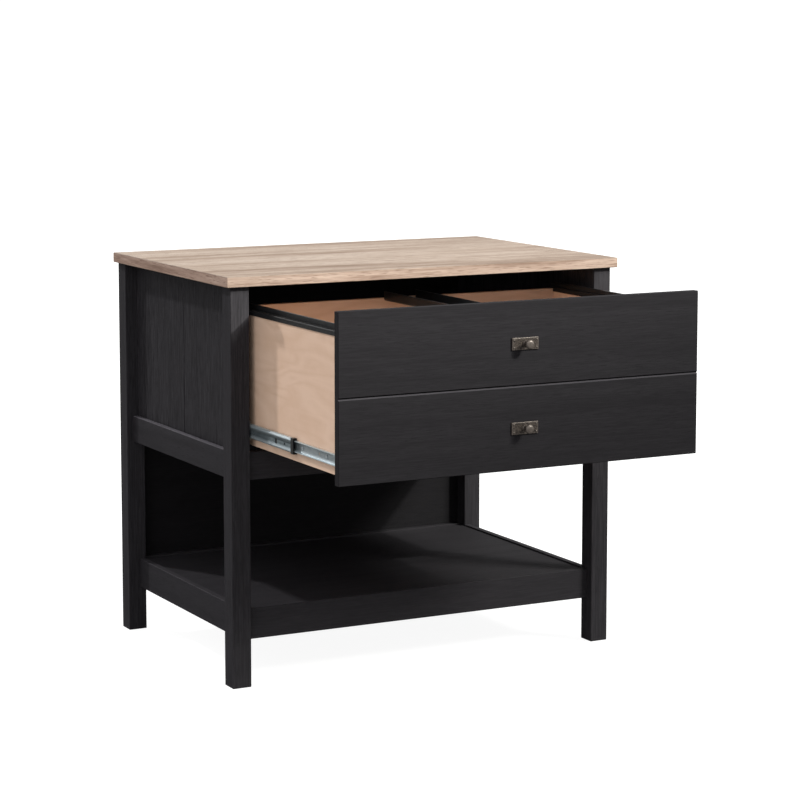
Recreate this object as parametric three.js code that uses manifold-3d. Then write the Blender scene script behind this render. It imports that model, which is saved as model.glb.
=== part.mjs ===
// Lateral filing cabinet: four square legs under an overhanging top, recessed side panels, one deep
// file drawer whose front is grooved to look like two, telescopic ball-bearing slides, and an open
// shelf below. Millimetres, +X to the right, +Y to the back, +Z up, drawer standing part way open.

import * as THREE from 'three';
import { mergeVertices } from 'three/addons/utils/BufferGeometryUtils.js';
import Module from 'manifold-3d';

const wasm = await Module();
wasm.setup();

// Clearances and small edge treatments
const SEAT = 0.2;
const EASE = 0.8;

// Top and legs
const HEIGHT = 762;
const TOP_THICKNESS = 19;
const TOP_WIDTH = 830;
const TOP_DEPTH = 561;
const TOP_OVERHANG = 10.4;
const LEG = 37;

// Case round the drawer
const PANEL_THICKNESS = 12.6;
const PANEL_GROOVE_WIDTH = 3.2;
const PANEL_GROOVE_DEPTH = 1.6;
const CASE_BOTTOM = 384;
const CASE_RAIL_HEIGHT = 52;
const SIDE_RAIL_THICKNESS = 10.8;
const RAIL_RECESS = 16;
const RAIL_THICKNESS = 15.9;
const BACK_THICKNESS = 6;
const BACK_LAP = 8;

// Open shelf
const SHELF_RAIL_BOTTOM = 86;
const SHELF_RAIL_HEIGHT = 58;
const SHELF_THICKNESS = 15.9;
const SHELF_DROP = 3;

// Drawer box
const DRAWER_OPEN_LENGTH = 360;
const DRAWER_FRONT_THICKNESS = 15;
const DRAWER_SIDE_GAP = 2.3;
const DRAWER_TOP_GAP = 10;
const DRAWER_RAIL_LAP = 3;
const DRAWER_CLOSING_GAP = 1;
const FRONT_GROOVE_WIDTH = 5;
const FRONT_GROOVE_DEPTH = 3;
const DRAWER_WALL = 12;
const DRAWER_LENGTH = 467;
const DRAWER_SIDE_RISE = 15;
const DRAWER_SIDE_DROP = 39;
const BOTTOM_THICKNESS = 5;
const BOTTOM_RISE = 10;
const BOTTOM_GROOVE_DEPTH = 6;

// Hanging-file rails
const FILE_RAIL_WALL = 1.6;
const FILE_RAIL_SKIRT = 6;
const FILE_RAIL_CAP = 3;
const FILE_RAIL_BEAD = 0.9;
const FILE_LIP_HEIGHT = 10;
const FILE_LIP_THICKNESS = 2.4;
const FILE_LIP_INSET = 10;
const MIDDLE_RAIL_WIDTH = 68;
const MIDDLE_RAIL_DROP = 4;

// Telescopic slides
const SLIDE_SPACE = 12.7;
const SLIDE_LENGTH = 457;
const SLIDE_SETBACK = 2;
const SLIDE_RISE = 27.5;
const MIDDLE_SHARE = 0.54;
const SLIDE_SHEET = 1.2;
const SLIDE_BEND = 1;
const MIDDLE_BEND = 4;
const CAGE_BEND = 2;
const SLIDE_RUNNING = 0.5;
const OUTER_HEIGHT = 35;
const OUTER_FLANGE = 8.5;
const OUTER_LIP = 1.9;
const MIDDLE_HEIGHT = 26.5;
const INNER_HEIGHT = 20;
const STOP_LENGTH = 10;
const STOP_PROUD = 1.2;
const STOP_WALL = 2.4;
const CAGE_SHEET = 0.5;
const OUTER_CAGE_LENGTH = 190;
const INNER_CAGE_LENGTH = 200;
const BALLS_PER_RACE = 6;
const SLIDE_HOLE = 5;
const MIDDLE_SLOT = 9;
const OUTER_HOLE_INSET = 37;
const INNER_HOLE_INSET = 47;
const INNER_HOLE_STEPS = [30, 96];
const MIDDLE_SLOT_AT = 56;
const MIDDLE_HOLE_AT = 25;

// Pulls
const PLATE_WIDTH = 54;
const PLATE_HEIGHT = 22;
const PLATE_THICKNESS = 2.6;
const RIVET_RADIUS = 2.1;
const RIVET_RISE = 1.1;
const RIVET_INSET = 4.2;
const KNOB_DIAMETER = 16.6;
const KNOB_HEAD = 8;
const KNOB_RIM = 2.4;
const KNOB_NECK_DIAMETER = 8.4;
const KNOB_FOOT_DIAMETER = 12.4;
const KNOB_FOOT = 1.6;
const KNOB_PROJECTION = 22;
const SCREW_DIAMETER = 4;
const SCREW_HOLE = 4.8;
const SCREW_GRIP = 8;
const SCREW_HEAD_DIAMETER = 8;
const SCREW_HEAD = 2.4;

// Fineness of the round forms
const HOLE_FACETS = 12;
const KNOB_FACETS = 24;
const CURVE_STEPS = 4;
const RIVET_FACETS = 10;
const BALL_FACETS = 8;

// Planes that several pieces share
const LEG_X = TOP_WIDTH / 2 - TOP_OVERHANG;
const INNER_X = LEG_X - LEG;
const BACK_Y = (TOP_DEPTH - TOP_OVERHANG) / 2;
const FRONT_Y = -BACK_Y;
const INNER_Y = BACK_Y - LEG;
const UNDER_TOP = HEIGHT - TOP_THICKNESS;
const PANEL_X = INNER_X + PANEL_THICKNESS;
const RAIL_Y = FRONT_Y + RAIL_RECESS;
const CASE_RAIL_TOP = CASE_BOTTOM + CASE_RAIL_HEIGHT;
const SHELF_RAIL_TOP = SHELF_RAIL_BOTTOM + SHELF_RAIL_HEIGHT;
const BACK_PANEL_Y = BACK_Y - BACK_THICKNESS;

// Drawer planes, with the drawer shut
const FRONT_BACK_Y = RAIL_Y - DRAWER_CLOSING_GAP;
const FRONT_FACE_Y = FRONT_BACK_Y - DRAWER_FRONT_THICKNESS;
const FRONT_BOTTOM = CASE_RAIL_TOP - DRAWER_RAIL_LAP;
const FRONT_TOP = UNDER_TOP - DRAWER_TOP_GAP;
const FRONT_MIDDLE = (FRONT_BOTTOM + FRONT_TOP) / 2;
const DRAWER_X = INNER_X - SLIDE_SPACE;
const DRAWER_INNER_X = DRAWER_X - DRAWER_WALL;
const DRAWER_BACK_Y = FRONT_BACK_Y + DRAWER_LENGTH;
const SIDE_BOTTOM = FRONT_BOTTOM + DRAWER_SIDE_RISE;
const SIDE_TOP = FRONT_TOP - DRAWER_SIDE_DROP;
const FLOOR_BOTTOM = SIDE_BOTTOM + BOTTOM_RISE;
const FLOOR_TOP = FLOOR_BOTTOM + BOTTOM_THICKNESS;
const LIP_TOP = SIDE_TOP + FILE_RAIL_CAP + FILE_LIP_HEIGHT;

// Slide planes: depth is measured from the case towards the drawer
const SLIDE_Z = SIDE_BOTTOM + SLIDE_RISE;
const SLIDE_FRONT = FRONT_BACK_Y + SLIDE_SETBACK;
const SLIDE_BACK = SLIDE_FRONT + SLIDE_LENGTH;
const MIDDLE_FRONT = SLIDE_FRONT + STOP_LENGTH;
const OUTER_HOLES = [OUTER_HOLE_INSET, SLIDE_LENGTH / 2, SLIDE_LENGTH - OUTER_HOLE_INSET];
const INNER_HOLES = [0, ...INNER_HOLE_STEPS, SLIDE_LENGTH - 2 * INNER_HOLE_INSET]
  .map((step) => INNER_HOLE_INSET + step);
const OUTER_WEB = SEAT + SLIDE_SHEET / 2;
const OUTER_CAGE_WEB = OUTER_WEB + SLIDE_SHEET / 2 + SLIDE_RUNNING + CAGE_SHEET / 2;
const MIDDLE_WEB = OUTER_CAGE_WEB + CAGE_SHEET / 2 + SLIDE_RUNNING + SLIDE_SHEET / 2;
const INNER_CAGE_WEB = MIDDLE_WEB + SLIDE_SHEET / 2 + SLIDE_RUNNING + CAGE_SHEET / 2;
const INNER_TIP = INNER_CAGE_WEB + CAGE_SHEET / 2 + SLIDE_RUNNING;
const INNER_WEB = SLIDE_SPACE - SEAT - SLIDE_SHEET / 2;
const MIDDLE_TIP = INNER_WEB - SLIDE_SHEET / 2 - SLIDE_RUNNING;

// Finishes
const BLACK_OAK = { color: 0x2c2a2c, roughness: 0.6, metalness: 0 };
const OAK_TOP = { color: 0xa98d73, roughness: 0.55, metalness: 0 };
const MAPLE = { color: 0xd0ae8d, roughness: 0.5, metalness: 0 };
const BLACK_PLASTIC = { color: 0x1d1e20, roughness: 0.45, metalness: 0 };
const ZINC = { color: 0xa9b1b5, roughness: 0.3, metalness: 1 };
const BRONZE = { color: 0x4c443d, roughness: 0.45, metalness: 0.9 };

function outline(points) {
  return new THREE.Shape(points.map(([u, v]) => new THREE.Vector2(u, v)));
}

function easedRectangle([u0, u1], [v0, v1]) {
  return outline([
    [u0 + EASE, v0], [u1 - EASE, v0], [u1, v0 + EASE], [u1, v1 - EASE],
    [u1 - EASE, v1], [u0 + EASE, v1], [u0, v1 - EASE], [u0, v0 + EASE],
  ]);
}

function extrudeZ(shape, [z0, z1]) {
  const geometry = new THREE.ExtrudeGeometry(shape, { depth: z1 - z0, bevelEnabled: false });
  return geometry.translate(0, 0, z0);
}

// The shape's own axes are X and Z here
function extrudeY(shape, [y0, y1]) {
  const geometry = new THREE.ExtrudeGeometry(shape, { depth: y1 - y0, bevelEnabled: false });
  return geometry.rotateX(Math.PI / 2).translate(0, y1, 0);
}

// The shape's own axes are Y and Z here
function extrudeX(shape, [x0, x1]) {
  const geometry = new THREE.ExtrudeGeometry(shape, { depth: x1 - x0, bevelEnabled: false });
  const turn = new THREE.Matrix4().makeBasis(
    new THREE.Vector3(0, 1, 0), new THREE.Vector3(0, 0, 1), new THREE.Vector3(1, 0, 0));
  return geometry.applyMatrix4(turn).translate(x0, 0, 0);
}

// A block with every edge eased, for boards whose ends show
function easedBlock(x, y, [z0, z1]) {
  const geometry = new THREE.ExtrudeGeometry(easedRectangle(x, y), {
    depth: z1 - z0 - 2 * EASE,
    bevelSegments: 1,
    bevelSize: EASE,
    bevelOffset: -EASE,
    bevelThickness: EASE,
  });
  return geometry.translate(0, 0, z0 + EASE);
}

function block([x0, x1], [y0, y1], [z0, z1]) {
  const geometry = new THREE.BoxGeometry(x1 - x0, y1 - y0, z1 - z0);
  return geometry.translate((x0 + x1) / 2, (y0 + y1) / 2, (z0 + z1) / 2);
}

// A rod along X or Y, for drilling round holes
function rod(diameter, length, [x, y, z], alongX = false) {
  const geometry = new THREE.CylinderGeometry(diameter / 2, diameter / 2, length, HOLE_FACETS);
  if (alongX) geometry.rotateZ(Math.PI / 2);
  return geometry.translate(x, y, z);
}

function toSolid(geometry) {
  const bare = geometry.clone();
  bare.deleteAttribute('normal');
  bare.deleteAttribute('uv');
  const merged = mergeVertices(bare);
  return new wasm.Manifold(new wasm.Mesh({
    numProp: 3,
    vertProperties: new Float32Array(merged.attributes.position.array),
    triVerts: new Uint32Array(merged.index.array),
  }));
}

function toGeometry(solid) {
  const mesh = solid.getMesh();
  const geometry = new THREE.BufferGeometry();
  geometry.setAttribute('position', new THREE.BufferAttribute(mesh.vertProperties, 3));
  geometry.setIndex(new THREE.BufferAttribute(mesh.triVerts, 1));
  geometry.computeVertexNormals();
  return geometry;
}

function cut(geometry, tools) {
  return toGeometry(tools.reduce((solid, tool) => solid.subtract(toSolid(tool)), toSolid(geometry)));
}

function fuse(geometry, others) {
  return toGeometry(others.reduce((solid, other) => solid.add(toSolid(other)), toSolid(geometry)));
}

function common(geometry, other) {
  return toGeometry(toSolid(geometry).intersect(toSolid(other)));
}

// The section of a bent sheet: a centreline with an arc at each bend, offset to both faces
function bentSheet(corners, thickness, bend) {
  const points = corners.map(([u, v]) => new THREE.Vector2(u, v));
  const faces = [[], []];
  const put = (point, normal) => {
    faces[0].push(point.clone().addScaledVector(normal, thickness / 2));
    faces[1].unshift(point.clone().addScaledVector(normal, -thickness / 2));
  };
  const leftOf = (direction) => new THREE.Vector2(-direction.y, direction.x);
  points.forEach((corner, i) => {
    const into = i > 0 ? corner.clone().sub(points[i - 1]).normalize() : null;
    const out = i < points.length - 1 ? points[i + 1].clone().sub(corner).normalize() : null;
    if (!into || !out) {
      put(corner, leftOf(into ?? out));
      return;
    }
    const turn = Math.atan2(into.cross(out), into.dot(out));
    const setback = bend * Math.tan(Math.abs(turn) / 2);
    const start = corner.clone().addScaledVector(into, -setback);
    const centre = start.clone().addScaledVector(leftOf(into), bend * Math.sign(turn));
    for (let step = 0; step <= CURVE_STEPS; step += 1) {
      const normal = leftOf(into).rotateAround(new THREE.Vector2(), (turn * step) / CURVE_STEPS);
      put(centre.clone().addScaledVector(normal, -bend * Math.sign(turn)), normal);
    }
  });
  return new THREE.Shape([...faces[0], ...faces[1]]);
}

function addPiece(parent, name, geometry, finish) {
  const mesh = new THREE.Mesh(geometry, new THREE.MeshStandardMaterial(finish));
  mesh.name = name;
  parent.add(mesh);
}

// A pair of X planes on the left (side -1) or the right (side 1), lowest first
function across(side, a, b) {
  return [side * a, side * b].sort((p, q) => p - q);
}

const SIDES = [['left', -1], ['right', 1]];

function addTopAndLegs(cabinet) {
  const overhang = LEG_X + TOP_OVERHANG;
  addPiece(cabinet, 'top_panel',
    easedBlock([-overhang, overhang], [FRONT_Y - TOP_OVERHANG, BACK_Y], [UNDER_TOP, HEIGHT]), OAK_TOP);
  for (const [label, side] of SIDES) {
    const x = across(side, LEG_X, INNER_X);
    const z = [0, UNDER_TOP - SEAT];
    addPiece(cabinet, `leg_front_${label}`, easedBlock(x, [FRONT_Y, -INNER_Y], z), BLACK_OAK);
    const rebate = block(across(side, INNER_X - EASE, INNER_X + BACK_LAP),
      [BACK_PANEL_Y - SEAT, BACK_Y + EASE], [SHELF_RAIL_BOTTOM, HEIGHT]);
    addPiece(cabinet, `leg_back_${label}`, cut(easedBlock(x, [INNER_Y, BACK_Y], z), [rebate]), BLACK_OAK);
  }
}

// The panel's inner face lines up with the legs, and its outer face has one V-groove
function sidePanel(side) {
  const [inner, outer] = [side * INNER_X, side * PANEL_X];
  const y = INNER_Y - SEAT;
  const grooveHalf = PANEL_GROOVE_WIDTH / 2;
  const section = outline([
    [inner, -y], [outer, -y], [outer, -grooveHalf], [outer - side * PANEL_GROOVE_DEPTH, 0],
    [outer, grooveHalf], [outer, y], [inner, y],
  ]);
  return extrudeZ(section, [CASE_BOTTOM, UNDER_TOP - SEAT]);
}

function addCase(cabinet) {
  const between = [-(INNER_Y - SEAT), INNER_Y - SEAT];
  const span = [-(INNER_X - SEAT), INNER_X - SEAT];
  for (const [label, side] of SIDES) {
    addPiece(cabinet, `side_panel_${label}`, sidePanel(side), BLACK_OAK);
    const railFoot = PANEL_X + SEAT;
    const railSection = easedRectangle(
      across(side, railFoot, railFoot + SIDE_RAIL_THICKNESS), [CASE_BOTTOM, CASE_RAIL_TOP]);
    addPiece(cabinet, `side_rail_${label}`, extrudeY(railSection, between), BLACK_OAK);
  }
  addPiece(cabinet, 'front_rail',
    extrudeX(easedRectangle([RAIL_Y, RAIL_Y + RAIL_THICKNESS], [CASE_BOTTOM, CASE_RAIL_TOP]), span),
    BLACK_OAK);
  const backReach = INNER_X + BACK_LAP - SEAT;
  addPiece(cabinet, 'back_panel',
    block([-backReach, backReach], [BACK_PANEL_Y, BACK_Y], [SHELF_RAIL_BOTTOM + SEAT, UNDER_TOP - SEAT]),
    BLACK_OAK);
}

function addShelf(cabinet) {
  const railZ = [SHELF_RAIL_BOTTOM, SHELF_RAIL_TOP];
  const span = [-(INNER_X - SEAT), INNER_X - SEAT];
  const frontRail = [RAIL_Y, RAIL_Y + RAIL_THICKNESS];
  const backRail = [BACK_PANEL_Y - SEAT - RAIL_THICKNESS, BACK_PANEL_Y - SEAT];
  addPiece(cabinet, 'shelf_front_rail', extrudeX(easedRectangle(frontRail, railZ), span), BLACK_OAK);
  addPiece(cabinet, 'shelf_back_rail', extrudeX(easedRectangle(backRail, railZ), span), BLACK_OAK);
  for (const [label, side] of SIDES) {
    const section = easedRectangle(across(side, INNER_X, PANEL_X), railZ);
    addPiece(cabinet, `shelf_side_rail_${label}`,
      extrudeY(section, [-(INNER_Y - SEAT), INNER_Y - SEAT]), BLACK_OAK);
  }
  const shelfTop = SHELF_RAIL_TOP - SHELF_DROP;
  addPiece(cabinet, 'shelf_panel',
    block(span, [frontRail[1] + SEAT, backRail[0] - SEAT], [shelfTop - SHELF_THICKNESS, shelfTop]),
    BLACK_OAK);
}

// One board with a V-groove across its face, a stopped groove for the drawer's floor and screw holes
function drawerFront() {
  const half = FRONT_GROOVE_WIDTH / 2;
  const [face, back] = [FRONT_FACE_Y, FRONT_BACK_Y];
  const section = outline([
    [face, FRONT_BOTTOM], [back, FRONT_BOTTOM], [back, FRONT_TOP], [face, FRONT_TOP],
    [face, FRONT_MIDDLE + half], [face + FRONT_GROOVE_DEPTH, FRONT_MIDDLE], [face, FRONT_MIDDLE - half],
  ]);
  const x = [-(INNER_X - DRAWER_SIDE_GAP), INNER_X - DRAWER_SIDE_GAP];
  const board = common(extrudeX(section, x), easedBlock(x, [face, back], [FRONT_BOTTOM, FRONT_TOP]));
  const holes = pullHeights().map((z) =>
    rod(SCREW_HOLE, 2 * DRAWER_FRONT_THICKNESS, [0, (face + back) / 2, z]));
  const grooveHalf = DRAWER_INNER_X + BOTTOM_GROOVE_DEPTH;
  const floorGroove = block([-grooveHalf, grooveHalf],
    [back - BOTTOM_GROOVE_DEPTH, back + DRAWER_FRONT_THICKNESS], [FLOOR_BOTTOM - SEAT, FLOOR_TOP + SEAT]);
  return cut(board, [...holes, floorGroove]);
}

function pullHeights() {
  return [(FRONT_MIDDLE + FRONT_TOP) / 2, (FRONT_BOTTOM + FRONT_MIDDLE) / 2];
}

function drawerSide(side) {
  const [outer, inner] = [side * DRAWER_X, side * DRAWER_INNER_X];
  const grooveX = side * (DRAWER_INNER_X + BOTTOM_GROOVE_DEPTH);
  const section = outline([
    [outer, SIDE_BOTTOM], [outer, SIDE_TOP], [inner, SIDE_TOP], [inner, FLOOR_TOP + SEAT],
    [grooveX, FLOOR_TOP + SEAT], [grooveX, FLOOR_BOTTOM - SEAT], [inner, FLOOR_BOTTOM - SEAT],
    [inner, SIDE_BOTTOM],
  ]);
  return extrudeY(section, [FRONT_BACK_Y + SEAT, DRAWER_BACK_Y]);
}

// An extruded cap over the drawer side's top edge, with a bead outside and a lip that files hang on
function fileRail(side) {
  const at = (inset, z) => [side * (DRAWER_X - inset), z];
  const [outside, inside] = [-SEAT - FILE_RAIL_WALL, DRAWER_WALL + SEAT + FILE_RAIL_WALL];
  const [skirt, cap] = [SIDE_TOP - FILE_RAIL_SKIRT, SIDE_TOP + FILE_RAIL_CAP];
  const lipHalf = FILE_LIP_THICKNESS / 2;
  const section = outline([
    at(outside, skirt), at(outside, SIDE_TOP), at(outside - FILE_RAIL_BEAD, SIDE_TOP + FILE_RAIL_BEAD),
    at(outside - FILE_RAIL_BEAD, cap - FILE_RAIL_BEAD), at(outside, cap),
    at(FILE_LIP_INSET - lipHalf, cap), at(FILE_LIP_INSET - lipHalf, LIP_TOP - EASE),
    at(FILE_LIP_INSET - lipHalf + EASE, LIP_TOP), at(FILE_LIP_INSET + lipHalf - EASE, LIP_TOP),
    at(FILE_LIP_INSET + lipHalf, LIP_TOP - EASE), at(FILE_LIP_INSET + lipHalf, cap),
    at(inside, cap), at(inside, skirt), at(DRAWER_WALL + SEAT, skirt),
    at(DRAWER_WALL + SEAT, SIDE_TOP + SEAT),
    at(-SEAT, SIDE_TOP + SEAT), at(-SEAT, skirt),
  ]);
  return extrudeY(section, [FRONT_BACK_Y + SEAT, DRAWER_BACK_Y]);
}

// A channel from the drawer's front to its back, whose two lips carry the inner ends of the files
function middleRail() {
  const [lip, web] = [MIDDLE_RAIL_WIDTH / 2, SIDE_TOP - MIDDLE_RAIL_DROP];
  const section = bentSheet([[-lip, LIP_TOP], [-lip, web], [lip, web], [lip, LIP_TOP]],
    FILE_LIP_THICKNESS, FILE_LIP_THICKNESS);
  return extrudeY(section, [FRONT_BACK_Y + SEAT, DRAWER_BACK_Y - DRAWER_WALL - SEAT]);
}

function addDrawerBox(drawer) {
  addPiece(drawer, 'drawer_front', drawerFront(), BLACK_OAK);
  for (const [label, side] of SIDES) {
    addPiece(drawer, `drawer_side_${label}`, drawerSide(side), MAPLE);
    addPiece(drawer, `file_rail_${label}`, fileRail(side), BLACK_PLASTIC);
  }
  const wallClear = FILE_RAIL_WALL + 2 * SEAT;
  const backHalf = DRAWER_INNER_X - SEAT;
  const notchHalf = DRAWER_INNER_X - wallClear;
  const notch = SIDE_TOP - FILE_RAIL_SKIRT - SEAT;
  const backSection = outline([
    [-backHalf, FLOOR_TOP + SEAT], [backHalf, FLOOR_TOP + SEAT], [backHalf, notch], [notchHalf, notch],
    [notchHalf, SIDE_TOP], [-notchHalf, SIDE_TOP], [-notchHalf, notch], [-backHalf, notch],
  ]);
  const backY = [DRAWER_BACK_Y - DRAWER_WALL, DRAWER_BACK_Y];
  addPiece(drawer, 'drawer_back', extrudeY(backSection, backY), MAPLE);
  const floorHalf = DRAWER_INNER_X + BOTTOM_GROOVE_DEPTH - SEAT;
  addPiece(drawer, 'drawer_bottom', block([-floorHalf, floorHalf],
    [FRONT_BACK_Y - BOTTOM_GROOVE_DEPTH + SEAT, DRAWER_BACK_Y], [FLOOR_BOTTOM, FLOOR_TOP]), MAPLE);
  addPiece(drawer, 'file_rail_middle', middleRail(), BLACK_PLASTIC);
}

// A plate with a hole for the screw and a domed rivet in each corner
function pullPlate(z) {
  const back = FRONT_FACE_Y - SEAT;
  const front = back - PLATE_THICKNESS;
  const [halfWidth, halfHeight] = [PLATE_WIDTH / 2, PLATE_HEIGHT / 2];
  const shape = easedRectangle([-halfWidth, halfWidth], [z - halfHeight, z + halfHeight]);
  shape.holes.push(new THREE.Path().absarc(0, z, SCREW_HOLE / 2, 0, 2 * Math.PI, true));
  const plate = new THREE.ExtrudeGeometry(shape, {
    depth: back - front, bevelEnabled: false, curveSegments: HOLE_FACETS / 2,
  }).rotateX(Math.PI / 2).translate(0, back, 0);
  const rivets = [];
  for (const across of [-1, 1]) {
    for (const up of [-1, 1]) {
      const dome = new THREE.SphereGeometry(RIVET_RADIUS, RIVET_FACETS, RIVET_FACETS / 2);
      dome.scale(1, RIVET_RISE / RIVET_RADIUS, 1);
      rivets.push(dome.translate(
        across * (halfWidth - RIVET_INSET), front, z + up * (halfHeight - RIVET_INSET)));
    }
  }
  return fuse(plate, rivets);
}

// Turned about the pull's axis: a flat-faced head with a rounded edge, a waist and a foot on the plate
function pullKnob(z) {
  const foot = FRONT_FACE_Y - 2 * SEAT - PLATE_THICKNESS;
  const face = FRONT_FACE_Y - KNOB_PROJECTION;
  const [head, neck, base] = [KNOB_DIAMETER / 2, KNOB_NECK_DIAMETER / 2, KNOB_FOOT_DIAMETER / 2];
  const profile = new THREE.Path();
  profile.moveTo(0, face);
  profile.lineTo(head - KNOB_RIM, face);
  profile.absarc(head - KNOB_RIM, face + KNOB_RIM, KNOB_RIM, -Math.PI / 2, 0, false);
  profile.lineTo(head, face + KNOB_HEAD - KNOB_RIM);
  profile.quadraticCurveTo(head - KNOB_RIM / 2, face + KNOB_HEAD, neck, face + KNOB_HEAD + KNOB_RIM);
  profile.lineTo(neck, foot - KNOB_FOOT - KNOB_RIM / 2);
  profile.quadraticCurveTo(neck, foot - KNOB_FOOT, base, foot - KNOB_FOOT);
  profile.lineTo(base, foot);
  profile.lineTo(SCREW_HOLE / 2, foot);
  profile.lineTo(SCREW_HOLE / 2, foot - SCREW_GRIP);
  profile.lineTo(0, foot - SCREW_GRIP);
  return new THREE.LatheGeometry(profile.getPoints(CURVE_STEPS), KNOB_FACETS).translate(0, 0, z);
}

function pullScrew(z) {
  const seat = FRONT_BACK_Y + SEAT;
  const tip = FRONT_FACE_Y - 2 * SEAT - PLATE_THICKNESS - SCREW_GRIP + 4 * SEAT;
  const [shank, head] = [SCREW_DIAMETER / 2, SCREW_HEAD_DIAMETER / 2];
  const profile = [
    [0, tip], [shank - SEAT, tip], [shank, tip + SEAT], [shank, seat], [head, seat],
    [head, seat + SCREW_HEAD / 2], [head - SCREW_HEAD / 2, seat + SCREW_HEAD], [0, seat + SCREW_HEAD],
  ].map(([radius, y]) => new THREE.Vector2(radius, y));
  return new THREE.LatheGeometry(profile, HOLE_FACETS).translate(0, 0, z);
}

function addPulls(drawer) {
  pullHeights().forEach((z, i) => {
    const label = ['upper', 'lower'][i];
    addPiece(drawer, `pull_plate_${label}`, pullPlate(z), BRONZE);
    addPiece(drawer, `pull_knob_${label}`, pullKnob(z), BRONZE);
    addPiece(drawer, `pull_screw_${label}`, pullScrew(z), ZINC);
  });
}

// Corners given as depth from the case and height from the slide's middle line
function slideSection(side, corners) {
  return corners.map(([depth, z]) => [side * (INNER_X - depth), SLIDE_Z + z]);
}

function slideSheet(side, corners, thickness, bend) {
  return bentSheet(slideSection(side, corners), thickness, bend);
}

function slideHoles(side, depth, front, places) {
  return places.map((place) =>
    rod(SLIDE_HOLE, 4 * SLIDE_SHEET, [side * (INNER_X - depth), front + place, SLIDE_Z], true));
}

// Fixed member: a channel whose lips hook over the outer row of balls
function outerMember(side) {
  const flange = (OUTER_HEIGHT - SLIDE_SHEET) / 2;
  const section = slideSheet(side, [
    [OUTER_FLANGE, OUTER_LIP - flange], [OUTER_FLANGE, -flange], [OUTER_WEB, -flange],
    [OUTER_WEB, flange], [OUTER_FLANGE, flange], [OUTER_FLANGE, flange - OUTER_LIP],
  ], SLIDE_SHEET, SLIDE_BEND);
  return cut(extrudeY(section, [SLIDE_FRONT, SLIDE_BACK]),
    slideHoles(side, OUTER_WEB, SLIDE_FRONT, OUTER_HOLES));
}

// Middle member: a smaller channel with well-rounded edges, and a lanced slot near its front
function middleMember(side) {
  const flange = (MIDDLE_HEIGHT - SLIDE_SHEET) / 2;
  const section = slideSheet(side,
    [[MIDDLE_TIP, -flange], [MIDDLE_WEB, -flange], [MIDDLE_WEB, flange], [MIDDLE_TIP, flange]],
    SLIDE_SHEET, MIDDLE_BEND);
  const webX = across(side, INNER_X - MIDDLE_WEB - SLIDE_SHEET, INNER_X - MIDDLE_WEB + SLIDE_SHEET);
  const slotY = MIDDLE_FRONT + MIDDLE_SLOT_AT;
  const slot = block(webX, [slotY, slotY + MIDDLE_SLOT],
    [SLIDE_Z - MIDDLE_SLOT / 2, SLIDE_Z + MIDDLE_SLOT / 2]);
  return cut(extrudeY(section, [MIDDLE_FRONT, SLIDE_BACK]),
    [slot, ...slideHoles(side, MIDDLE_WEB, MIDDLE_FRONT, [MIDDLE_HOLE_AT])]);
}

// Inner member: a channel screwed to the drawer side and open towards the case
function innerMember(side) {
  const flange = (INNER_HEIGHT - SLIDE_SHEET) / 2;
  const section = slideSheet(side,
    [[INNER_TIP, -flange], [INNER_WEB, -flange], [INNER_WEB, flange], [INNER_TIP, flange]],
    SLIDE_SHEET, SLIDE_BEND);
  return cut(extrudeY(section, [SLIDE_FRONT, SLIDE_BACK]),
    slideHoles(side, INNER_WEB, SLIDE_FRONT, INNER_HOLES));
}

// Plastic stop on the front of the middle member, open where the inner member passes
function slideStop(side) {
  const reach = MIDDLE_HEIGHT / 2 + STOP_PROUD;
  const [near, far] = [MIDDLE_WEB - SLIDE_SHEET / 2, MIDDLE_TIP];
  const passage = INNER_HEIGHT / 2 + SLIDE_RUNNING;
  const waist = Math.min(near + STOP_WALL, INNER_TIP - SLIDE_RUNNING / 2);
  const section = outline(slideSection(side, [
    [near, EASE - reach], [near + EASE, -reach], [far, -reach], [far, -passage], [waist, -passage],
    [waist, passage], [far, passage], [far, reach], [near + EASE, reach], [near, reach - EASE],
  ]));
  return extrudeY(section, [SLIDE_FRONT, MIDDLE_FRONT - SEAT]);
}

// A thin strip bent round the raceways, with its captive balls
function ballCage(side, { web, ballDepth, outside, inside, centre, length }) {
  const raceway = (outside + inside) / 2;
  const ball = (outside - inside) / 2 - SEAT;
  const tip = ballDepth + ball / 2;
  const section = slideSheet(side,
    [[tip, -raceway], [web, -raceway], [web, raceway], [tip, raceway]], CAGE_SHEET, CAGE_BEND);
  const strip = extrudeY(section, [centre - length / 2, centre + length / 2]);
  const pitch = length / BALLS_PER_RACE;
  const balls = [];
  for (const z of [-raceway, raceway]) {
    for (let i = 0; i < BALLS_PER_RACE; i += 1) {
      const place = centre - length / 2 + pitch * (i + 0.5);
      balls.push(new THREE.SphereGeometry(ball, BALL_FACETS, BALL_FACETS / 2)
        .translate(side * (INNER_X - ballDepth), place, SLIDE_Z + z));
    }
  }
  return fuse(strip, balls);
}

function outerCage(side) {
  return ballCage(side, {
    web: OUTER_CAGE_WEB,
    ballDepth: (OUTER_WEB + OUTER_FLANGE) / 2 + SLIDE_SHEET / 2,
    outside: OUTER_HEIGHT / 2 - SLIDE_SHEET,
    inside: MIDDLE_HEIGHT / 2,
    centre: (SLIDE_FRONT + SLIDE_BACK) / 2,
    length: OUTER_CAGE_LENGTH,
  });
}

function innerCage(side) {
  return ballCage(side, {
    web: INNER_CAGE_WEB,
    ballDepth: (INNER_TIP + MIDDLE_TIP) / 2,
    outside: MIDDLE_HEIGHT / 2 - SLIDE_SHEET,
    inside: INNER_HEIGHT / 2,
    centre: (MIDDLE_FRONT + SLIDE_BACK) / 2,
    length: INNER_CAGE_LENGTH,
  });
}

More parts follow.
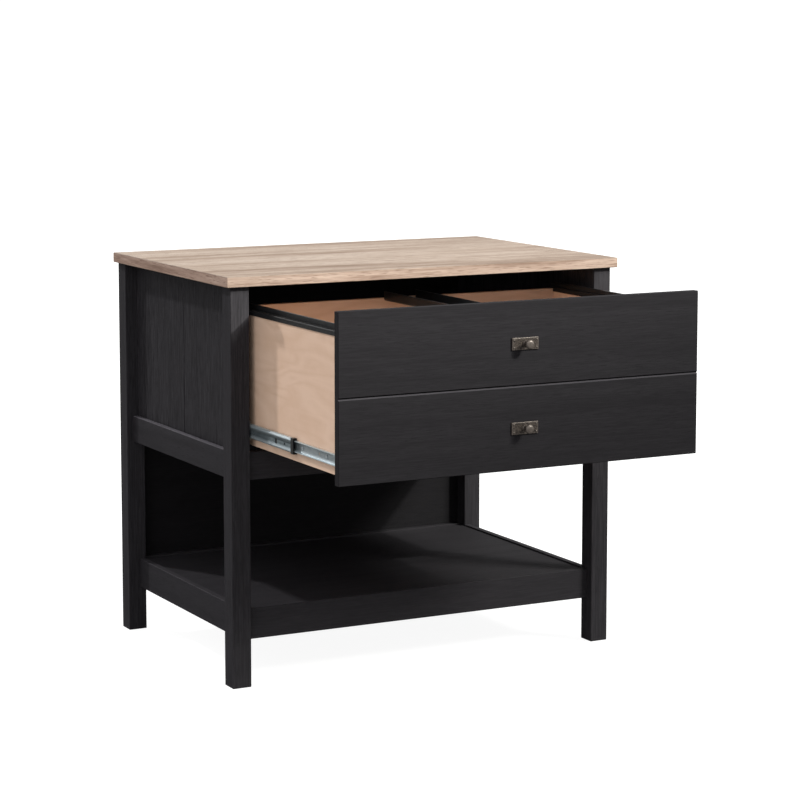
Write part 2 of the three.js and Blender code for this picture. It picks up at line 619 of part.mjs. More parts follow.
// A group of pieces drawn in their shut places and slid forward by a share of the drawer's opening
function slidGroup(share) {
  const group = new THREE.Group();
  group.position.y = -share * DRAWER_OPEN_LENGTH;
  return group;
}

// The part's origin: on the floor, under the centre of the box round the open cabinet
const lowestY = FRONT_FACE_Y - KNOB_PROJECTION - DRAWER_OPEN_LENGTH;
const cabinet = new THREE.Group();
cabinet.name = 'lateral_filing_cabinet';
cabinet.position.y = -(lowestY + BACK_Y) / 2;

addTopAndLegs(cabinet);
addCase(cabinet);
addShelf(cabinet);

const drawer = slidGroup(1);
addDrawerBox(drawer);
addPulls(drawer);

const middles = slidGroup(MIDDLE_SHARE);
const outerCages = slidGroup(MIDDLE_SHARE / 2);
const innerCages = slidGroup((1 + MIDDLE_SHARE) / 2);
for (const [label, side] of SIDES) {
  addPiece(cabinet, `slide_outer_${label}`, outerMember(side), ZINC);
  addPiece(outerCages, `slide_outer_cage_${label}`, outerCage(side), ZINC);
  addPiece(middles, `slide_middle_${label}`, middleMember(side), ZINC);
  addPiece(middles, `slide_stop_${label}`, slideStop(side), BLACK_PLASTIC);
  addPiece(innerCages, `slide_inner_cage_${label}`, innerCage(side), ZINC);
  addPiece(drawer, `slide_inner_${label}`, innerMember(side), ZINC);
}
cabinet.add(drawer, middles, outerCages, innerCages);

export default cabinet;
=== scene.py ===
# %% [markdown]
# # Dressing a lateral filing cabinet
# The cabinet's boards, drawer and slides come from CAD as exact solids. This lesson gives them their
# finishes, adds the small metal pieces that a solid model leaves out, and lights the result. Each step
# says what the real thing is, how it could be made, and why this way was chosen.

import math

import bmesh
import bpy
from mathutils import Matrix, Quaternion, Vector, noise


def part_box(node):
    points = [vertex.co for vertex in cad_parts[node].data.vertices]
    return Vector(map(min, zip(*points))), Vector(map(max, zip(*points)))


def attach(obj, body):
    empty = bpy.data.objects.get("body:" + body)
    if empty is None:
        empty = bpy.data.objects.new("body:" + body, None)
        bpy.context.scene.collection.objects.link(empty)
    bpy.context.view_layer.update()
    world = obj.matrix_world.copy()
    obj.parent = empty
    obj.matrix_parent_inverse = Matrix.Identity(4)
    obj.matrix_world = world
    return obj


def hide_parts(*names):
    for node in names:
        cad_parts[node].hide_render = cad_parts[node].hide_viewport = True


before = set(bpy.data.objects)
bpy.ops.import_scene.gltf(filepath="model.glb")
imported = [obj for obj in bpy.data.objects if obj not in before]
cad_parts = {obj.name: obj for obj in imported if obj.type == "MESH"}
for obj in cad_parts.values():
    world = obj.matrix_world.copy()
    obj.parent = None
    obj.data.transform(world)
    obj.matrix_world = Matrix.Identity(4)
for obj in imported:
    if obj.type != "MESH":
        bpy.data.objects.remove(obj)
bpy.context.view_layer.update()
SCENE = bpy.context.scene
MM = 0.001

# %% [markdown]
# ## A short way to write node trees
# A finish is a tree of shader nodes. Wiring it by hand in the editor is fine for one finish, but all the
# finishes below share the same few moves: place a node, set some sockets, and plug others in. One helper
# does that. A value that is itself a socket is linked, and anything else is set on the socket directly.

# %% Place a node
def put(tree, kind, sockets=None, **settings):
    node = tree.nodes.new(kind)
    for name, value in settings.items():
        setattr(node, name, value)
    for name, value in (sockets or {}).items():
        if isinstance(value, bpy.types.NodeSocket):
            tree.links.new(value, node.inputs[name])
        else:
            node.inputs[name].default_value = value
    return node


print("put() places a node and fills its sockets")

# %% [markdown]
# ## Mixing and rescaling
# Most nodes in a finish only combine two patterns or rescale one. A mix node has sockets for numbers,
# vectors and colours under the same names, so its colour sockets are reached by their place in the list.

# %% Mix and rescale
MIX_SHARE, MIX_FIRST, MIX_SECOND, MIX_RESULT = 0, 6, 7, 2


def opaque(colour):
    return (*colour, 1.0)


def mixed(tree, share, first, second, blend="MIX"):
    sockets = {MIX_SHARE: share, MIX_FIRST: first, MIX_SECOND: second}
    node = put(tree, "ShaderNodeMix", sockets, data_type="RGBA", blend_type=blend)
    return node.outputs[MIX_RESULT]


def remapped(tree, value, old, new=(0.0, 1.0)):
    sockets = {
        "Value": value,
        "From Min": old[0],
        "From Max": old[1],
        "To Min": new[0],
        "To Max": new[1],
    }
    return put(tree, "ShaderNodeMapRange", sockets).outputs["Result"]


def combined(tree, operation, first, second=0.0):
    node = put(tree, "ShaderNodeMath", {0: first, 1: second}, operation=operation)
    return node.outputs["Value"]


print("mixed(), remapped() and combined() join patterns")

# %% [markdown]
# ## Clouds, colours and bumps
# Every pattern here starts as cloudy noise. A colour ramp turns the noise into a print, and a bump node
# turns it into a relief that catches the light, without a single extra face in the mesh.

# %% Patterns
RAMP_MIDDLE = 0.5


def ramped(tree, value, stops):
    node = put(tree, "ShaderNodeValToRGB", {"Fac": value})
    elements = node.color_ramp.elements
    while len(elements) < len(stops):
        elements.new(RAMP_MIDDLE)
    for element, (place, colour) in zip(elements, stops):
        element.position = place
        element.color = opaque(colour)
    return node.outputs["Color"]


def clouded(tree, vector, scale, detail=2.0, roughness=0.5, distortion=0.0):
    sockets = {
        "Vector": vector,
        "Scale": scale,
        "Detail": detail,
        "Roughness": roughness,
        "Distortion": distortion,
    }
    return put(tree, "ShaderNodeTexNoise", sockets).outputs["Fac"]


def bumped(tree, height, strength, depth):
    sockets = {"Height": height, "Strength": strength, "Distance": depth}
    return put(tree, "ShaderNodeBump", sockets).outputs["Normal"]


print("clouded(), ramped() and bumped() draw patterns")

# %% [markdown]
# ## Starting and closing a finish
# A finish begins with one shader that holds the numbers that are the same all over the surface, and ends
# when the patterns are plugged into it. Numbers stay on the shader's own sockets, where an export finds
# them. Object coordinates suit every finish, because all the pieces sit at the origin.

# %% Finish helpers
def new_finish(name, constants):
    material = bpy.data.materials.new(name)
    material.use_nodes = True
    tree = material.node_tree
    tree.nodes.clear()
    shader = put(tree, "ShaderNodeBsdfPrincipled", constants)
    put(tree, "ShaderNodeOutputMaterial", {"Surface": shader.outputs["BSDF"]})
    return material, tree, shader


def object_space(tree):
    return put(tree, "ShaderNodeTexCoord").outputs["Object"]


def along_axes(tree, vector):
    return put(tree, "ShaderNodeSeparateXYZ", {"Vector": vector}).outputs


def facing(tree):
    """How far the surface faces along each axis"""
    return along_axes(tree, put(tree, "ShaderNodeTexCoord").outputs["Normal"])


def plug(tree, shader, **sources):
    for socket, source in sources.items():
        tree.links.new(source, shader.inputs[socket.replace("_", " ")])


print("new_finish() starts a finish and plug() closes it")

# %% [markdown]
# ## Wood grain that runs the right way
# Every board here is a printed and embossed laminate. Its grain follows the board's length: upright on
# legs and side panels, level on rails and the drawer front. An image would have to be unwrapped onto each
# board. Squeezing one axis of the texture space stretches the noise along that axis instead, and a shift
# in that space keeps two boards from showing the same figure.

# %% Grain space
LONG_GRAIN = 0.035


def grain_space(tree, along, shift, squeeze=LONG_GRAIN):
    scale = [squeeze if axis == along else 1.0 for axis in "XYZ"]
    sockets = {"Vector": object_space(tree), "Location": shift, "Scale": scale}
    return put(tree, "ShaderNodeMapping", sockets).outputs["Vector"]


print("long grain is stretched", round(1.0 / LONG_GRAIN), "times")

# %% [markdown]
# ## The tones of black oak
# The body's laminate is charcoal rather than true black. The drawer front is a shade darker than the
# frame. The back board is darker still, as painted shade for the shelf bay, except on its outward face.
# A few faces carry painted light apart from the rest of their board: a painted highlight on a rail's ledge
# and on the lower wall of the front's groove, and painted shade on the groove's upper wall. They could be
# faces with a finish of their own, but the CAD meshes stay as they are, and the surface normal tells where
# they are.

# %% Black oak tones
OAK_DARK = (0.0156, 0.0144, 0.0165)
OAK_MIDDLE = (0.0250, 0.0233, 0.0264)
OAK_PALE = (0.0344, 0.0323, 0.0362)
# painted highlight: the up-facing ledges of the case and shelf rails are made paler, standing in for light
# on them
CASE_LEDGE_HIGHLIGHT = {"axis": "Z", "lowest": 0.3, "highest": 1.1, "tone": 3.2}
SHELF_LEDGE_HIGHLIGHT = {"axis": "Z", "lowest": 0.3, "highest": 1.1, "tone": 1.5}
# painted highlight on the groove's lower, upward-facing wall, and painted shade on its upper,
# downward-facing wall
GROOVE_LIP_HIGHLIGHT = {"axis": "Z", "lowest": 0.74, "highest": 0.97, "tone": 2.7}
GROOVE_ROOF_SHADE = {"axis": "Z", "lowest": -0.97, "highest": -0.6, "tone": 0.08}
# the back board is darkened as painted shade for the shelf bay; this tone lifts its outward face nearly
# back to the frame's tone
BACK_OUTSIDE_UNSHADED = {"axis": "Y", "lowest": 0.5, "highest": 1.1, "tone": 2.4}


def toned(colour, contrast, shade):
    pairs = zip(colour, OAK_MIDDLE)
    return tuple((middle + (value - middle) * contrast) * shade for value, middle in pairs)


def face_painted_light(tree, colour, axis, lowest, highest, tone):
    """Painted highlight or shade, by the tone, on faces whose normal lies between two shares along an axis
    """
    share = facing(tree)[axis]
    over = combined(tree, "GREATER_THAN", share, lowest)
    under = combined(tree, "LESS_THAN", share, highest)
    here = combined(tree, "MULTIPLY", over, under)
    return mixed(tree, here, colour, opaque((tone, tone, tone)), "MULTIPLY")


print("black oak runs from", OAK_DARK, "to", OAK_PALE)

# %% [markdown]
# ## Black oak
# The print shows fine fibres a couple of millimetres wide, broad soft bands, and short dark pores pressed
# into the surface. An image could hold that, but three noises at three scales give the same look at any
# size, and the same fibres drive the bump and the gloss. The side panels show the strongest grain and the
# drawer front one of the faintest, so each kind of board has its own fibre, contrast and shade.

# %% Black oak finish
BAND_SCALE, PORE_SCALE = 24.0, 1250.0
OAK_STOPS = (0.36, 0.5, 0.66)
OAK_PORES = (0.36, 0.44)
FIBRE_SPAN, OAK_GLOSS = (0.3, 0.7), (0.58, 0.72)
OAK_SHINE = 0.05
EMBOSSING, OAK_DEPTH = 0.3, 0.15 * MM


def black_oak(name, along, shift, fibre_scale, contrast, shade=1.0, fibre_share=0.55, faces=()):
    tones = [toned(colour, contrast, shade) for colour in (OAK_DARK, OAK_MIDDLE, OAK_PALE)]
    material, tree, shader = new_finish("black_oak_" + name, {"Specular IOR Level": OAK_SHINE})
    space = grain_space(tree, along, shift)
    bands = clouded(tree, space, BAND_SCALE, detail=3.0, roughness=0.55, distortion=0.8)
    fibres = clouded(tree, space, fibre_scale, detail=3.0, roughness=0.6)
    pores = clouded(tree, space, PORE_SCALE, detail=1.0)
    figure = mixed(tree, fibre_share, bands, fibres)
    colour = ramped(tree, figure, list(zip(OAK_STOPS, tones)))
    pressed = remapped(tree, pores, OAK_PORES)
    colour = mixed(tree, pressed, opaque(tones[0]), colour)
    # painted highlights and painted shade on the faces listed
    for face in faces:
        colour = face_painted_light(tree, colour, **face)
    relief = combined(tree, "ADD", fibres, pressed)
    gloss = remapped(tree, fibres, FIBRE_SPAN, OAK_GLOSS)
    normal = bumped(tree, relief, EMBOSSING, OAK_DEPTH)
    plug(tree, shader, Base_Color=colour, Roughness=gloss, Normal=normal)
    return material


BLACK_OAK = {
    "board": black_oak("board", "X", (0.0, 0.0, 0.0), fibre_scale=480.0, contrast=0.5),
    "rail": black_oak("rail", "Y", (3.1, 0.0, 1.7), fibre_scale=420.0, contrast=0.7,
                      faces=[CASE_LEDGE_HIGHLIGHT]),
    "shelf_rail": black_oak("shelf_rail", "Y", (1.1, 0.0, 2.7), fibre_scale=420.0, contrast=0.7,
                            faces=[SHELF_LEDGE_HIGHLIGHT]),
    "leg": black_oak("leg", "Z", (1.3, 2.9, 0.0), fibre_scale=330.0, contrast=0.7,
                     fibre_share=0.85),
    "panel": black_oak("panel", "Z", (2.2, 0.8, 0.0), fibre_scale=360.0, contrast=1.5,
                       fibre_share=0.85),
    "front": black_oak("front", "X", (0.6, 0.0, 2.3), fibre_scale=480.0, contrast=0.6, shade=0.63,
                       faces=[GROOVE_LIP_HIGHLIGHT, GROOVE_ROOF_SHADE]),
    # painted shade: a shade of 0.40 darkens the back board as the shade in the shelf bay, and its outward
    # face is lifted again
    "back": black_oak("back", "X", (1.6, 0.0, 0.9), fibre_scale=480.0, contrast=0.5, shade=0.40,
                      faces=[BACK_OUTSIDE_UNSHADED]),
}
print("black oak finishes:", sorted(BLACK_OAK))

# %% [markdown]
# ## The oak top
# The top is a pale, greyed oak print with long streaks. Its edges carry a strip of the same print, laid
# lengthwise, so the two ends must not show end grain. The surface normal tells the two cases apart: where
# it points along X, the streaks follow the edge, and elsewhere they follow the board. The edge strip is a
# little paler and redder than the board, partly as a paler print and partly as painted light on these
# upright faces, and on the ends the painted light is stronger.

# %% Oak top tones
STREAK_DARK = (0.129, 0.093, 0.075)
STREAK_BROWN = (0.199, 0.153, 0.127)
STREAK_PALE = (0.257, 0.209, 0.178)
STREAK_GREY = (0.296, 0.249, 0.219)
STREAK_STOPS = [(0.36, STREAK_DARK), (0.45, STREAK_BROWN), (0.53, STREAK_PALE), (0.64, STREAK_GREY)]
FIBRE_TINTS = [(0.34, (0.74, 0.71, 0.69)), (0.62, (1.0, 1.0, 1.0))]
# the edge strip's factor is partly a paler print and partly painted light; the ends get more painted light
EDGE_PRINT_AND_LIGHT, END_PRINT_AND_LIGHT = (1.26, 1.18, 1.15), (1.65, 1.50, 1.45)
END_FACING, TOP_FACING = 0.6, 0.5


def edge_shares(tree):
    """Where the board ends, and where its edge strip runs"""
    shares = facing(tree)
    at_end = combined(tree, "GREATER_THAN", combined(tree, "ABSOLUTE", shares["X"]), END_FACING)
    at_edge = combined(tree, "LESS_THAN", combined(tree, "ABSOLUTE", shares["Z"]), TOP_FACING)
    return at_end, at_edge


print("the top's streaks:", len(STREAK_STOPS), "tones")

# %% [markdown]
# Real oak is never one pattern. Broad noise lays out the wide pale and dark stripes, a middle one breaks
# them into streaks, and fine fibres and pores lie over both. All four share one stretched space, so they
# run together, and the fibres are also what the hand would feel.

# %% Oak top finish
TOP_GRAIN = 0.055
BOARD_SHIFT, STRIP_SHIFT = (0.7, 0.0, 0.0), (0.0, 1.9, 0.4)
BROAD_SCALE, STREAK_SCALE, TOP_FIBRES, TOP_PORES = 13.0, 70.0, 300.0, 700.0
STREAK_SHARE = 0.45
TOP_PORE_EDGE = (0.33, 0.40)
TOP_GLOSS, TOP_SHINE = (0.68, 0.80), 0.04
TOP_DEPTH = 0.12 * MM


def oak_top():
    material, tree, shader = new_finish("oak_top", {"Specular IOR Level": TOP_SHINE})
    lengthwise = grain_space(tree, "X", BOARD_SHIFT, TOP_GRAIN)
    edgewise = grain_space(tree, "Y", STRIP_SHIFT, TOP_GRAIN)
    at_end, at_edge = edge_shares(tree)
    space = mixed(tree, at_end, lengthwise, edgewise)
    broad = clouded(tree, space, BROAD_SCALE, detail=4.0, roughness=0.6, distortion=1.1)
    streaks = clouded(tree, space, STREAK_SCALE, detail=4.0, roughness=0.62, distortion=0.5)
    fibres = clouded(tree, space, TOP_FIBRES, detail=4.0, roughness=0.7)
    pores = clouded(tree, space, TOP_PORES, detail=1.0)
    colour = ramped(tree, mixed(tree, STREAK_SHARE, broad, streaks), STREAK_STOPS)
    colour = mixed(tree, 1.0, colour, ramped(tree, fibres, FIBRE_TINTS), "MULTIPLY")
    pressed = remapped(tree, pores, TOP_PORE_EDGE)
    colour = mixed(tree, pressed, opaque(STREAK_DARK), colour)
    # painted light on the edge strip, strongest on the ends, multiplied into the print
    strip = mixed(tree, at_end, opaque(EDGE_PRINT_AND_LIGHT), opaque(END_PRINT_AND_LIGHT))
    colour = mixed(tree, at_edge, colour, strip, "MULTIPLY")
    gloss = remapped(tree, fibres, FIBRE_SPAN, TOP_GLOSS)
    normal = bumped(tree, combined(tree, "ADD", fibres, pressed), EMBOSSING, TOP_DEPTH)
    plug(tree, shader, Base_Color=colour, Roughness=gloss, Normal=normal)
    return material


OAK_TOP = oak_top()
print("finish:", OAK_TOP.name)

# %% [markdown]
# ## Maple drawer box
# The drawer box is wrapped in a pale maple print. Maple is the quiet one: faint lengthwise lines, a soft
# mottle across them that real maple shows where its fibres wave, and almost no pores. A veneer peeled from
# the log also shows its year rings as wide flames. They are contour lines of a slow noise, which a
# ping-pong node draws by folding the noise back and forth.

# %% Maple finish
MAPLE_STOPS = [(0.34, (0.602, 0.415, 0.304)), (0.62, (0.654, 0.466, 0.354))]
LINE_SCALE, MOTTLE_SCALE, SLOW_SCALE = 150.0, 22.0, 10.0
LINE_SHIFT, FLAME_SHIFT = (0.4, 0.9, 2.2), (1.4, 0.3, 0.8)
FLAME_GRAIN, FLAMES, FOLD = 0.3, 16.0, 1.0
MOTTLE_SHARE, FLAME_SHARE = 0.5, 0.26
MAPLE_GLOSS, MAPLE_SHINE = (0.52, 0.62), 0.15
MAPLE_RELIEF, MAPLE_DEPTH = 0.12, 0.1 * MM


def maple(along):
    material, tree, shader = new_finish("maple_" + along.lower(), {"Specular IOR Level": MAPLE_SHINE})
    line_space = grain_space(tree, along, LINE_SHIFT)
    flame_space = grain_space(tree, along, FLAME_SHIFT, FLAME_GRAIN)
    lines = clouded(tree, line_space, LINE_SCALE, detail=4.0, roughness=0.6, distortion=0.3)
    mottle = clouded(tree, object_space(tree), MOTTLE_SCALE, detail=3.0, distortion=0.6)
    slow = clouded(tree, flame_space, SLOW_SCALE, distortion=0.6)
    flames = combined(tree, "PINGPONG", combined(tree, "MULTIPLY", slow, FLAMES), FOLD)
    figure = mixed(tree, FLAME_SHARE, mixed(tree, MOTTLE_SHARE, lines, mottle), flames)
    colour = ramped(tree, figure, MAPLE_STOPS)
    gloss = remapped(tree, lines, FIBRE_SPAN, MAPLE_GLOSS)
    normal = bumped(tree, lines, MAPLE_RELIEF, MAPLE_DEPTH)
    plug(tree, shader, Base_Color=colour, Roughness=gloss, Normal=normal)
    return material


MAPLE = {"X": maple("X"), "Y": maple("Y")}
print("maple runs along", sorted(MAPLE))

# %% [markdown]
# ## Black plastic
# File rails and slide stops are moulded or extruded plastic. One flat colour would look like painted wood,
# so a fine sparkle texture goes into the bump, and a slow haze makes the colour and gloss slightly uneven.

# %% Black plastic finish
PLASTIC_BLACK, PLASTIC_HAZED = (0.0070, 0.0071, 0.0078), (0.0120, 0.0122, 0.0130)
TOOTH_SCALE, HAZE_SCALE = 1600.0, 60.0
HAZE_SPAN, PLASTIC_GLOSS = (0.3, 0.7), (0.28, 0.40)
PLASTIC_SHINE = 0.15
TOOTH_RELIEF, TOOTH_DEPTH = 0.15, 0.05 * MM


def black_plastic():
    material, tree, shader = new_finish("black_plastic", {"Specular IOR Level": PLASTIC_SHINE})
    space = object_space(tree)
    tooth = clouded(tree, space, TOOTH_SCALE, detail=1.0)
    haze = clouded(tree, space, HAZE_SCALE)
    colour = mixed(tree, haze, opaque(PLASTIC_BLACK), opaque(PLASTIC_HAZED))
    gloss = remapped(tree, haze, HAZE_SPAN, PLASTIC_GLOSS)
    normal = bumped(tree, tooth, TOOTH_RELIEF, TOOTH_DEPTH)
    plug(tree, shader, Base_Color=colour, Roughness=gloss, Normal=normal)
    return material


BLACK_PLASTIC = black_plastic()
print("finish:", BLACK_PLASTIC.name)

# %% [markdown]
# ## Ball tracks
# The ball tracks of the two slide members that show swell out of the web by a millimetre or so, less than
# the solids have room for. Modelling the swell would mean a new member. One share that rises with the
# height above or below the slide's centre line gives both the bump and a brighter colour instead. The
# brighter colour is partly the burnish the balls leave and partly a painted highlight along the tracks.

# %% Ball tracks
SLIDE_HEIGHT = sum(corner.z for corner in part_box("slide_middle_left")) / 2
MIDDLE_TRACKS, INNER_TRACKS = (3.4 * MM, 9.4 * MM), (5.2 * MM, 8.6 * MM)


def swelling(tree, foot, crest):
    height = along_axes(tree, object_space(tree))["Z"]
    away = combined(tree, "ABSOLUTE", combined(tree, "SUBTRACT", height, SLIDE_HEIGHT))
    return remapped(tree, away, (foot, crest))


print("the slides' centre line is", round(SLIDE_HEIGHT / MM, 1), "mm up")

# %% [markdown]
# ## Zinc-plated steel
# The slides are rolled steel with a bright bluish zinc coat, which scatters some light as well as
# reflecting it, so it isn't fully metallic. Rolling leaves fine lines along the length, and a slow cloud
# stands for the plating's haze. The middle and drawer members get darker copies of the same zinc, as
# painted shade on their webs. The ball cages are near black, as painted shade for the dark gaps seen
# through the members' slots.

# %% Zinc finish
ROLLED_SCALE, PLATING_SCALE = 900.0, 45.0
ROLLED_SHIFT = (0.2, 0.0, 0.6)
DULL_AT, BRIGHT_AT = 0.35, 0.62
ZINC_SPAN, ZINC_GLOSS = (0.35, 0.65), (0.40, 0.26)
ZINC_METAL, PLATING_SHARE = 0.6, 0.5
ROLLED_RELIEF, ROLLED_DEPTH = 0.15, 0.04 * MM
TRACK_RELIEF, TRACK_SLOPE = 1.0, 0.62
# partly burnish, partly a painted highlight on the ball tracks
BURNISH_AND_HIGHLIGHT = (0.46, 0.53, 0.56)


def zinc(name, dull, bright, tracks=None):
    material, tree, shader = new_finish(name, {"Metallic": ZINC_METAL})
    rolled_space = grain_space(tree, "Y", ROLLED_SHIFT)
    rolled = clouded(tree, rolled_space, ROLLED_SCALE, detail=3.0, roughness=0.6)
    haze = clouded(tree, object_space(tree), PLATING_SCALE, detail=3.0)
    figure = mixed(tree, PLATING_SHARE, rolled, haze)
    colour = ramped(tree, figure, [(DULL_AT, dull), (BRIGHT_AT, bright)])
    gloss = remapped(tree, figure, ZINC_SPAN, ZINC_GLOSS)
    normal = bumped(tree, rolled, ROLLED_RELIEF, ROLLED_DEPTH)
    if tracks:
        foot, crest = tracks
        swell = swelling(tree, foot, crest)
        # the tracks are painted brighter: partly burnish, partly a painted highlight
        colour = mixed(tree, swell, colour, opaque(BURNISH_AND_HIGHLIGHT))
        normal = bumped(tree, swell, TRACK_RELIEF, TRACK_SLOPE * (crest - foot))
    plug(tree, shader, Base_Color=colour, Roughness=gloss, Normal=normal)
    return material


ZINC = zinc("zinc_steel", dull=(0.320, 0.350, 0.370), bright=(0.520, 0.550, 0.570))
# darker copies of the zinc: painted shade on the middle and drawer members' webs
ZINC_MIDDLE_SHADED = zinc("zinc_steel_middle", dull=(0.085, 0.110, 0.122), bright=(0.170, 0.207, 0.224),
                   tracks=MIDDLE_TRACKS)
ZINC_INNER_SHADED = zinc("zinc_steel_inner", dull=(0.180, 0.208, 0.224), bright=(0.310, 0.343, 0.362),
                  tracks=INNER_TRACKS)
# near-black zinc on the ball cages: painted shade for the dark gaps behind the slots
CAGE_PAINTED_SHADE = zinc("zinc_steel_cage_painted_shade", dull=(0.020, 0.021, 0.021), bright=(0.055, 0.056, 0.055))
print("finishes:", ZINC.name, ZINC_MIDDLE_SHADED.name, ZINC_INNER_SHADED.name, CAGE_PAINTED_SHADE.name)

# %% [markdown]
# ## Antique bronze
# The pulls are cast, darkened and then rubbed, so the edges and the crown of the knob are bright and the
# hollows stay brown-black. A bump alone can't know where an edge is. The pull's own mesh can: each piece
# below stores how worn each point is in an attribute named worn, and the finish reads it.

# %% Antique bronze finish
BRONZE_STOPS = [(0.40, (0.013, 0.0100, 0.0086)), (0.60, (0.078, 0.061, 0.051))]
BRONZE_RUBBED = (0.118, 0.098, 0.087)
PATINA_SCALE, HAMMER_SCALE = 420.0, 230.0
RUBBED_SPAN, RUBBED_SHARE = (0.3, 0.6), (0.55, 1.0)
PATINA_SPAN, BRONZE_GLOSS = (0.35, 0.65), (0.52, 0.36)
BRONZE_METAL, PATINA_RELIEF = 0.5, 0.3
CAST_RELIEF, CAST_DEPTH = 0.8, 0.5 * MM


def antique_bronze():
    material, tree, shader = new_finish("antique_bronze", {"Metallic": BRONZE_METAL})
    space = object_space(tree)
    patina = clouded(tree, space, PATINA_SCALE, detail=4.0, roughness=0.65)
    hammer = clouded(tree, space, HAMMER_SCALE, detail=1.0)
    worn = put(tree, "ShaderNodeAttribute", attribute_name="worn").outputs["Fac"]
    colour = ramped(tree, patina, BRONZE_STOPS)
    rubbed = combined(tree, "MULTIPLY", worn, remapped(tree, patina, RUBBED_SPAN, RUBBED_SHARE))
    colour = mixed(tree, rubbed, colour, opaque(BRONZE_RUBBED))
    gloss = remapped(tree, patina, PATINA_SPAN, BRONZE_GLOSS)
    relief = combined(tree, "ADD", hammer, combined(tree, "MULTIPLY", patina, PATINA_RELIEF))
    normal = bumped(tree, relief, CAST_RELIEF, CAST_DEPTH)
    plug(tree, shader, Base_Color=colour, Roughness=gloss, Normal=normal)
    return material


BRONZE = antique_bronze()
print("finish:", BRONZE.name)

# %% [markdown]
# ## Putting the finishes on the CAD pieces
# The solids already have the right shape, eased edges and V-grooves included, so they keep their meshes
# and only get a finish. A table of name beginnings is enough, because the pieces are named by kind. The
# first line that fits is taken, so the longer names stand above the shorter ones.

# %% Finish each CAD piece
FINISH_OF = [
    ("top_panel", OAK_TOP),
    ("leg_", BLACK_OAK["leg"]),
    ("side_panel", BLACK_OAK["panel"]),
    ("side_rail", BLACK_OAK["rail"]),
    ("shelf_side_rail", BLACK_OAK["shelf_rail"]),
    ("front_rail", BLACK_OAK["board"]),
    ("shelf_", BLACK_OAK["board"]),
    ("back_panel", BLACK_OAK["back"]),
    ("drawer_front", BLACK_OAK["front"]),
    ("drawer_side", MAPLE["Y"]),
    ("drawer_", MAPLE["X"]),
    ("file_rail", BLACK_PLASTIC),
    ("slide_stop", BLACK_PLASTIC),
    ("slide_middle", ZINC_MIDDLE_SHADED),
    ("slide_inner_cage", CAGE_PAINTED_SHADE),
    ("slide_outer_cage", CAGE_PAINTED_SHADE),
    ("slide_inner", ZINC_INNER_SHADED),
    ("slide_", ZINC),
    ("pull_screw", ZINC),
    ("pull_", BRONZE),
]

for name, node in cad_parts.items():
    finish = next(finish for start, finish in FINISH_OF if name.startswith(start))
    node.data.materials.clear()
    node.data.materials.append(finish)
print("finished", len(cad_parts), "CAD pieces")

# %% [markdown]
# ## From a bmesh to a piece
# New pieces are modelled in place, in metres, so their objects stay at the origin, unturned, like the CAD
# pieces. Each one rides on the body that carries it and gets its finish. Faces are smooth except across
# sharp edges, which keeps round forms round and flat ones flat.

# %% Piece helpers
SHARP = math.radians(32)


def finished_piece(bm, name, body, finish):
    mesh = bpy.data.meshes.new(name)
    bm.to_mesh(mesh)
    bm.free()
    for polygon in mesh.polygons:
        polygon.use_smooth = True
    mesh.set_sharp_from_angle(angle=SHARP)
    mesh.materials.append(finish)
    piece = bpy.data.objects.new(name, mesh)
    SCENE.collection.objects.link(piece)
    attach(piece, body)
    print("made", name, "with", len(mesh.polygons), "faces")
    return piece


def new_verts(made):
    return [item for item in made["geom"] if isinstance(item, bmesh.types.BMVert)]


print("edges over", round(math.degrees(SHARP)), "degrees stay sharp")

# %% [markdown]
# ## Pull plates
# Each pull has a cast plate with a slightly wavy outline, rubbed edges and a rivet in each corner. A cube
# with bevelled edges would be too regular. A grid whose rim is nudged by noise gives the cast outline.

# %% Plate outline
PLATE_COLUMNS, PLATE_ROWS, HALF_UNIT = 18, 8, 0.5
RIM_WAVE, WAVES_PER_METRE = 0.22 * MM, 260.0
UPRIGHT = math.radians(90)


def plate_grid(bm, low, high):
    middle = (low + high) / 2
    bmesh.ops.create_grid(bm, x_segments=PLATE_COLUMNS, y_segments=PLATE_ROWS, size=HALF_UNIT)
    upright = Matrix.Rotation(UPRIGHT, 4, "X")
    size = Matrix.Diagonal((high.x - low.x, high.z - low.z, 1.0, 1.0))
    place = Matrix.Translation((middle.x, high.y, middle.z))
    bmesh.ops.transform(bm, matrix=place @ upright @ size, verts=bm.verts)
    for vert in bm.verts:
        if vert.is_boundary:
            wave = noise.noise(vert.co * WAVES_PER_METRE) * RIM_WAVE
            inward = Vector((middle.x - vert.co.x, 0.0, middle.z - vert.co.z)).normalized()
            vert.co += inward * (RIM_WAVE + wave)


print("a plate's grid has", PLATE_COLUMNS * PLATE_ROWS, "cells")

# %% [markdown]
# The rivets are flattened spheres sunk to their middle in the plate's face, which is how a hammered rivet
# looks from outside. Only their crowns are rubbed, so only these points are marked as worn.

# %% Rivets
RIVET_RADIUS, RIVET_RISE = 2.1 * MM, 1.1 * MM
RIVET_INSET = 4.2 * MM
RIVET_AROUND, RIVET_RINGS = 16, 10
CROWN_FROM, CROWN_WORN = 0.6, 0.5


def add_rivets(bm, low, high, worn, front):
    for x in (low.x + RIVET_INSET, high.x - RIVET_INSET):
        for z in (low.z + RIVET_INSET, high.z - RIVET_INSET):
            made = bmesh.ops.create_uvsphere(bm, u_segments=RIVET_AROUND, v_segments=RIVET_RINGS,
                                             radius=RIVET_RADIUS)
            dome = made["verts"]
            flatten = Matrix.Diagonal((1.0, RIVET_RISE / RIVET_RADIUS, 1.0, 1.0))
            bmesh.ops.transform(bm, matrix=Matrix.Translation((x, front, z)) @ flatten, verts=dome)
            for vert in dome:
                on_crown = front - vert.co.y > RIVET_RISE * CROWN_FROM
                vert[worn] = CROWN_WORN if on_crown else 0.0


print("a rivet stands", RIVET_RISE / MM, "mm proud")

